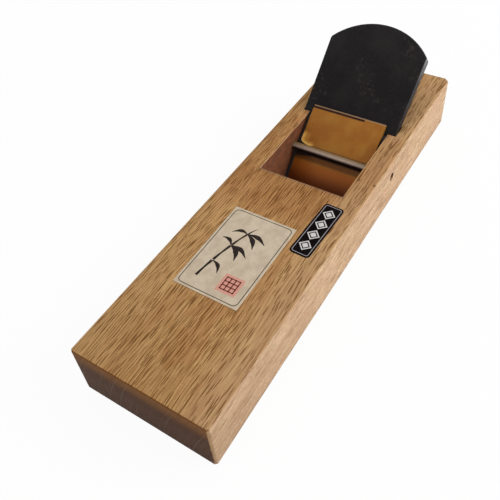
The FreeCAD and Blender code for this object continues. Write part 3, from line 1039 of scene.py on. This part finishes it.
@dataclass
class Chipbreaker:
    """The chipbreaker: a lacquered plate that lies on the blade, with a steel strip along its edge."""

    half_width: float = 27.7 * MM
    thickness: float = 3.3 * MM
    line_height: float = 65.0 * MM
    line_depth: float = 0.5 * MM
    line_width: float = 1.2 * MM
    line_length: float = 40.0 * MM
    overcut: float = 1.0 * MM
    edge_round: float = 0.4 * MM
    plate_finish: GoldLacquer = GoldLacquer()
    edge_finish: GoldLacquer = GoldLacquer(name="lacquered_edge", amber=(0.30, 0.14, 0.04))

    def shape_plate(self) -> Piece:
        """Returns the plate with the line cut below its top edge."""
        plate = copy_of("chipbreaker_iron", "lacquered_plate")
        uphill, outward = Vector((CLIMB, 0, LIFT)), Vector((-LIFT, 0, CLIMB))
        middle = Vector((LIP_X * MM, 0, 0)) + self.line_height * uphill + self.thickness * outward
        middle.y = self.half_width + self.overcut - self.line_length / 2
        size = (self.line_width, self.line_length, 2 * self.line_depth)
        cut_away(plate, add_box("line_tool", middle, size, SLOPE))
        round_edges(plate, self.edge_round, 25.0, 3)
        smooth(plate, 35.0)
        return plate

    def build(self) -> None:
        """Shapes, dresses and places the plate and its steel strip."""
        plate = self.shape_plate()
        strip = copy_of("chipbreaker_steel", "breaker_edge")
        smooth(strip, 25.0)
        dress(plate, self.plate_finish.material())
        dress(strip, self.edge_finish.material())
        place_piece(plate, Body.BREAKER, "chipbreaker_iron")
        place_piece(strip, Body.BREAKER, "chipbreaker_steel")


@dataclass
class Label:
    """A sheet of paper on the block's top, with what is printed on it. Its place is that of its solid.

    The border is a thin line round it, given by its distance from the sheet's edge, the radius of its
    corners and its width.
    """

    node: str
    slot: Slot
    length: float
    width: float
    corner: float
    border: Point
    paper: Paper
    turn: float = 0.0
    ink: float = 0.03 * MM

    def __post_init__(self) -> None:
        """Takes the sheet's middle and its two faces from the frame."""
        low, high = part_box(self.node)
        self.centre = ((low.x + high.x) / 2, (low.y + high.y) / 2)
        self.base, self.face = low.z, high.z

    @property
    def print_levels(self) -> Spot:
        """Returns the underside of a print, half way into the paper, and its top."""
        return (self.base + self.face) / 2, self.face + self.ink

    def slab(self, name: str, length: float, width: float, corner: float, levels: Spot) -> Piece:
        """Makes a flat plate with rounded corners around the label's middle.

        Args:
            name: the plate's name.
            length: its size along X.
            width: its size along Y.
            corner: the radius of its corners.
            levels: the heights of its underside and its top.

        Returns:
            The plate.
        """
        low, high = levels
        plate = add_box(name, (*self.centre, (low + high) / 2), (length, width, high - low))
        bpy.ops.object.mode_set(mode="EDIT")
        upright = (high - low) / 2
        select_parts(plate, "EDGE", lambda edge: abs(edge.verts[0].co.z - edge.verts[1].co.z) > upright)
        bpy.ops.mesh.bevel(offset=corner, segments=8, affect="EDGES")
        bpy.ops.object.mode_set(mode="OBJECT")
        return plate

    def outline(self, name: str) -> Piece:
        """Prints the border, as a flat ring with the given name."""
        inset, corner, line = self.border
        low, high = self.print_levels
        length, width = self.length - 2 * inset, self.width - 2 * inset
        ring = self.slab(name, length, width, corner, (low, high))
        through = (low - MM, high + MM)
        inside = self.slab("line_inside", length - 2 * line, width - 2 * line, corner - line, through)
        cut_away(ring, inside)
        return ring

    def assemble(self, name: str, prints: Sequence[tuple[Print, Sequence[Piece]]]) -> None:
        """Joins the prints to their sheet, turns the whole as it was pasted on, and places it.

        Args:
            name: the sheet's name.
            prints: each ink with the pieces that are printed in it.
        """
        sheet = self.slab(name, self.length, self.width, self.corner, (self.base, self.face))
        dress(sheet, self.paper.material())
        for ink, pieces in prints:
            material = ink.material()
            for piece in pieces:
                dress(piece, material)
        only(sheet)
        for _ink, pieces in prints:
            for piece in pieces:
                piece.select_set(True)
        bpy.ops.object.join()
        middle = Matrix.Translation((*self.centre, 0))
        sheet.matrix_world = middle @ Matrix.Rotation(math.radians(self.turn), 4, "Z") @ middle.inverted()
        place_piece(settle(sheet), Body.BLOCK, self.node)


@dataclass
class Stroke:
    """One stroke of a brush, from its start over a middle to its end, and its half-widths there."""

    start: Spot
    middle: Spot
    end: Spot
    weights: Point


@dataclass
class BigLabel(Label):
    """The beige label: a sprig of bamboo in ink, and a red square with a plain lattice."""

    node: str = "paper_label"
    slot: Slot = Slot.PAPER
    length: float = 67.8 * MM
    width: float = 43.5 * MM
    corner: float = 0.5 * MM
    border: Point = (1.4 * MM, 3.2 * MM, 0.5 * MM)
    paper: Paper = Paper("label_paper", (0.595, 0.495, 0.370), (0.500, 0.402, 0.292))
    line_ink: Print = Print("line_ink", (0.045, 0.040, 0.030), (0.085, 0.075, 0.058))
    brush_ink: Print = Print("brush_ink", (0.020, 0.014, 0.012), (0.055, 0.040, 0.034))
    seal_red: Print = Print("seal_red", (0.62, 0.285, 0.220), (0.585, 0.40, 0.31))
    seal_ink: Print = Print("seal_ink", (0.13, 0.028, 0.022), (0.22, 0.06, 0.05))
    seal: float = 13 * MM
    seal_shift: Spot = (-20.9 * MM, -9.2 * MM)
    flatness: float = 0.03

    def strokes(self) -> list[Stroke]:
        """Returns the sprig, drawn around the sheet's middle with X towards the blade and Y to the left."""
        stalk = [
            Stroke((-24, 12.5), (-17, 11.6), (-10.5, 10.4), (0.9, 0.65, 0.95)),
            Stroke((-9.6, 10.2), (-3, 8.8), (4.2, 6.9), (0.95, 0.6, 0.9)),
            Stroke((5.1, 6.6), (11, 4.9), (16.5, 2.8), (0.85, 0.5, 0.7)),
            Stroke((17.2, 2.5), (20.5, 1.0), (23.5, -0.9), (0.6, 0.35, 0.12)),
        ]
        leaves = [
            Stroke((4.6, 6.8), (1.6, 1.6), (-5.2, -1.2), (0.25, 1.75, 0.1)),
            Stroke((4.6, 6.8), (4.4, 0.2), (-0.2, -6.4), (0.25, 1.6, 0.1)),
            Stroke((4.6, 6.8), (8.2, 10.4), (8.4, 15.6), (0.2, 1.3, 0.08)),
            Stroke((16.8, 2.7), (13.6, -2.6), (7.2, -6.2), (0.25, 1.7, 0.1)),
            Stroke((16.8, 2.7), (17.2, -4.2), (13.4, -11.2), (0.25, 1.6, 0.1)),
            Stroke((16.8, 2.7), (17.6, 7.6), (14.2, 12.6), (0.2, 1.35, 0.08)),
            Stroke((-10, 10.3), (-12.2, 5.2), (-17.6, 2.4), (0.2, 1.3, 0.08)),
        ]
        return stalk + leaves

    def brush(self, number: int, stroke: Stroke) -> Piece:
        """Draws one stroke.

        Args:
            number: its place in the drawing, for its name.
            stroke: its path and its half-widths, in millimetres.

        Returns:
            The stroke as a thin flat mesh on the paper.
        """
        middle = (*self.centre, self.face)
        bpy.ops.object.select_all(action="DESELECT")
        bpy.ops.curve.primitive_bezier_curve_add(location=middle)
        curve = named(f"stroke_{number}").data
        curve.dimensions = "3D"
        curve.resolution_u = 8
        curve.bevel_depth = MM
        curve.bevel_resolution = 3
        curve.use_fill_caps = True
        knots = curve.splines[0].bezier_points
        knots.add(1)
        for knot, spot, weight in zip(knots, (stroke.start, stroke.middle, stroke.end), stroke.weights):
            knot.co = (spot[0] * MM, spot[1] * MM, 0)
            knot.handle_left_type = knot.handle_right_type = "AUTO"
            knot.radius = weight
        bpy.ops.object.convert(target="MESH")
        bpy.ops.object.mode_set(mode="EDIT")
        bpy.ops.mesh.select_all(action="SELECT")
        bpy.ops.mesh.remove_doubles(threshold=0.001 * MM)
        bpy.ops.transform.resize(value=(1, 1, self.flatness), center_override=middle)
        bpy.ops.mesh.normals_make_consistent(inside=False)
        bpy.ops.object.mode_set(mode="OBJECT")
        return settle(bpy.context.object)

    def seal_pieces(self) -> tuple[Piece, list[Piece]]:
        """Returns the red square, and the bars of its lattice: a frame with two crossed pairs inside."""
        x, y = (at + shift for at, shift in zip(self.centre, self.seal_shift))
        low, high = self.print_levels
        square = add_box("seal_square", (x, y, (low + high) / 2), (self.seal, self.seal, high - low))
        reach, line = self.seal * 0.34, self.seal * 0.055
        bars = []
        for offset in (-reach, -reach / 3, reach / 3, reach):
            for shift, size in (
                ((0, offset), (2 * reach + line, line)),
                ((offset, 0), (line, 2 * reach + line)),
            ):
                spot = (x + shift[0], y + shift[1], self.face + self.ink)
                bars.append(add_box("lattice_bar", spot, (*size, 2 * self.ink)))
        return square, bars

    def build(self) -> None:
        """Builds the sheet and its prints as one piece and places it."""
        square, bars = self.seal_pieces()
        self.assemble("big_label", [
            (self.line_ink, [self.outline("label_line")]),
            (self.brush_ink, [self.brush(number, stroke) for number, stroke in enumerate(self.strokes())]),
            (self.seal_red, [square]),
            (self.seal_ink, bars),
        ])


@dataclass
class StripLabel(Label):
    """The narrow black label: a pale line round it and a row of four nested lozenges."""

    node: str = "strip_label"
    slot: Slot = Slot.STRIP
    length: float = 45.3 * MM
    width: float = 13.4 * MM
    corner: float = 2.4 * MM
    border: Point = (1.10 * MM, 1.5 * MM, 0.42 * MM)
    turn: float = -2.0
    paper: Paper = Paper("strip_paper", (0.0035, 0.0022, 0.0030), (0.0065, 0.0045, 0.0050), 0.02)
    line_ink: Print = Print("pale_line", (0.34, 0.31, 0.32), (0.20, 0.19, 0.20))
    mark_ink: Print = Print("white_print", (0.62, 0.60, 0.58), (0.42, 0.40, 0.39))
    margin: float = 3.5 * MM
    marks: int = 4
    mark_size: float = 4.3 * MM
    mark_line: float = 0.75 * MM

    def lozenge(self, number: int) -> Piece:
        """Prints one mark.

        Args:
            number: its place in the row.

        Returns:
            The mark: a lozenge drawn in line, with a small solid one inside it.
        """
        pitch = (self.length - 2 * self.margin) / self.marks
        spot = Vector((self.centre[0] + (number - (self.marks - 1) / 2) * pitch, self.centre[1], 0))
        low, high = self.print_levels

        def ring_of_top(inner: float, outer: float) -> None:
            """Selects the faces on top that lie between two distances from the lozenge's middle."""
            def test(face: bmesh.types.BMFace) -> bool:
                away = face.calc_center_median() - spot
                return face.normal.z > 0.9 and inner <= abs(away.x) + abs(away.y) < outer
            select_parts(mark, "FACE", test)

        bpy.ops.object.select_all(action="DESELECT")
        bpy.ops.mesh.primitive_cylinder_add(
            vertices=4, radius=self.mark_size, depth=high - low, location=(spot.x, spot.y, (low + high) / 2)
        )
        mark = settle(named(f"lozenge_{number}"))
        bpy.ops.object.mode_set(mode="EDIT")
        for _ in range(2):
            ring_of_top(0.0, self.mark_line)
            bpy.ops.mesh.inset(thickness=self.mark_line)
        ring_of_top(self.mark_line, self.mark_size - 1.5 * self.mark_line)
        bpy.ops.mesh.extrude_region_move(TRANSFORM_OT_translate={"value": (0, 0, low - high)})
        bpy.ops.object.mode_set(mode="OBJECT")
        return mark

    def build(self) -> None:
        """Builds the strip and its prints as one piece and places it."""
        self.assemble("strip_label_sheet", [
            (self.line_ink, [self.outline("strip_line")]),
            (self.mark_ink, [self.lozenge(number) for number in range(self.marks)]),
        ])


@dataclass(frozen=True)
class Lamp:
    """A square lamp that faces the block, with its place and side in metres and its power in watts."""

    name: str
    place: Point
    power: float
    side: float = 0.9

    def hang(self) -> None:
        """Hangs the lamp."""
        bpy.ops.object.select_all(action="DESELECT")
        turn = (-Vector(self.place)).to_track_quat("-Z", "Y").to_euler()
        bpy.ops.object.light_add(type="AREA", location=self.place, rotation=turn)
        lamp = named(self.name)
        lamp.data.energy = self.power
        lamp.data.size = self.side


@dataclass
class Studio:
    """The pale floor, the soft lamps and the camera."""

    floor_size: float = 8.0
    floor_gap: float = 0.05 * MM
    floor_colour: Colour = (0.86, 0.86, 0.86)
    glow: float = 0.95
    sky: float = 0.5
    lamps: tuple[Lamp, ...] = (
        Lamp("key_lamp", (0.55, -1.10, 0.75), 14.0),
        Lamp("top_lamp", (0.30, 0.20, 1.30), 4.0),
    )
    camera_place: Point = (-0.25289, -0.14876, 0.31878)
    camera_aim: Point = (0.00069, 0.04342, 0.0)
    camera_roll: float = -6.51
    camera_lens: float = 45.05
    camera_shift: Spot = (0.01535, -0.07968)

    @staticmethod
    def white_to_camera(tree: Tree, plain: Socket, glow: Socket, out: Socket, share: float) -> None:
        """Shows a white glow to the camera and in mirrors, and the plain surface to all other light.

        Args:
            tree: the node tree of the floor or the world.
            plain: the shader that lights the object.
            glow: the white shader.
            out: the tree's surface input.
            share: how much of the glow shows.
        """
        path = tree.nodes.new("ShaderNodeLightPath")
        seen = Term(tree, path.outputs["Is Camera Ray"]) | Term(tree, path.outputs["Is Glossy Ray"])
        seen = (seen | Term(tree, path.outputs["Is Transmission Ray"])) * share
        blend = tree.nodes.new("ShaderNodeMixShader")
        tree.links.new(seen.socket, blend.inputs[0])
        tree.links.new(plain, blend.inputs[1])
        tree.links.new(glow, blend.inputs[2])
        tree.links.new(blend.outputs[0], out)

    def build_floor(self) -> None:
        """Lays the floor, white to the camera but for a soft shadow."""
        bpy.ops.object.select_all(action="DESELECT")
        bpy.ops.mesh.primitive_plane_add(size=self.floor_size, location=(0, 0, -self.floor_gap))
        floor = settle(named("floor"))
        s = Shader("floor")
        greyer = tuple(0.98 * part for part in self.floor_colour)
        cloud = s.mix(s.noise((300, 300, 300), 1.0), self.floor_colour, greyer)
        material = s.finish(base_color=cloud, roughness=0.9, specular_ior_level=0.0)
        glow = s.node("ShaderNodeEmission", inputs={"Color": (1, 1, 1), "Strength": 1.0})
        out = s.tree.nodes["Material Output"].inputs["Surface"]
        self.white_to_camera(s.tree, s.surface.outputs[0], glow.outputs[0], out, self.glow)
        dress(floor, material)

    def build_sky(self) -> None:
        """Fills the room with even light behind a white background."""
        world = bpy.data.worlds.new("room")
        world.use_nodes = True
        bpy.context.scene.world = world
        tree = world.node_tree
        plain = tree.nodes["Background"]
        plain.inputs["Color"].default_value = (1, 1, 1, 1)
        plain.inputs["Strength"].default_value = self.sky
        glow = tree.nodes.new("ShaderNodeBackground")
        glow.inputs["Color"].default_value = (1, 1, 1, 1)
        out = tree.nodes["World Output"].inputs["Surface"]
        self.white_to_camera(tree, plain.outputs[0], glow.outputs[0], out, 1.0)

    def add_camera(self) -> None:
        """Sets up the camera at the photograph's viewpoint."""
        place = Vector(self.camera_place)
        turn = (Vector(self.camera_aim) - place).to_track_quat("-Z", "Y")
        turn = turn @ Quaternion((0, 0, 1), math.radians(self.camera_roll))
        bpy.ops.object.camera_add(location=place, rotation=turn.to_euler())
        camera = named("camera")
        camera.data.lens = self.camera_lens
        camera.data.sensor_width = 36.0
        camera.data.shift_x, camera.data.shift_y = self.camera_shift
        camera.data.clip_start = 0.01
        bpy.context.scene.camera = camera

    def build(self) -> None:
        """Sets up the room."""
        self.build_floor()
        self.build_sky()
        for lamp in self.lamps:
            lamp.hang()
        self.add_camera()
        bpy.context.scene.view_settings.view_transform = "Standard"


def build_plane() -> None:
    """Builds every sub-assembly in order."""
    for part in (PlaneBlock(), RetainingPin(), Blade(), Chipbreaker(), BigLabel(), StripLabel()):
        part.build()
        log.info("%s is built", type(part).__name__)


def main() -> None:
    """Builds the plane and its studio."""
    logging.basicConfig(level=logging.INFO, format="%(message)s")
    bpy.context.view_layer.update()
    build_plane()
    Studio().build()


if __name__ == "__main__":
    main()
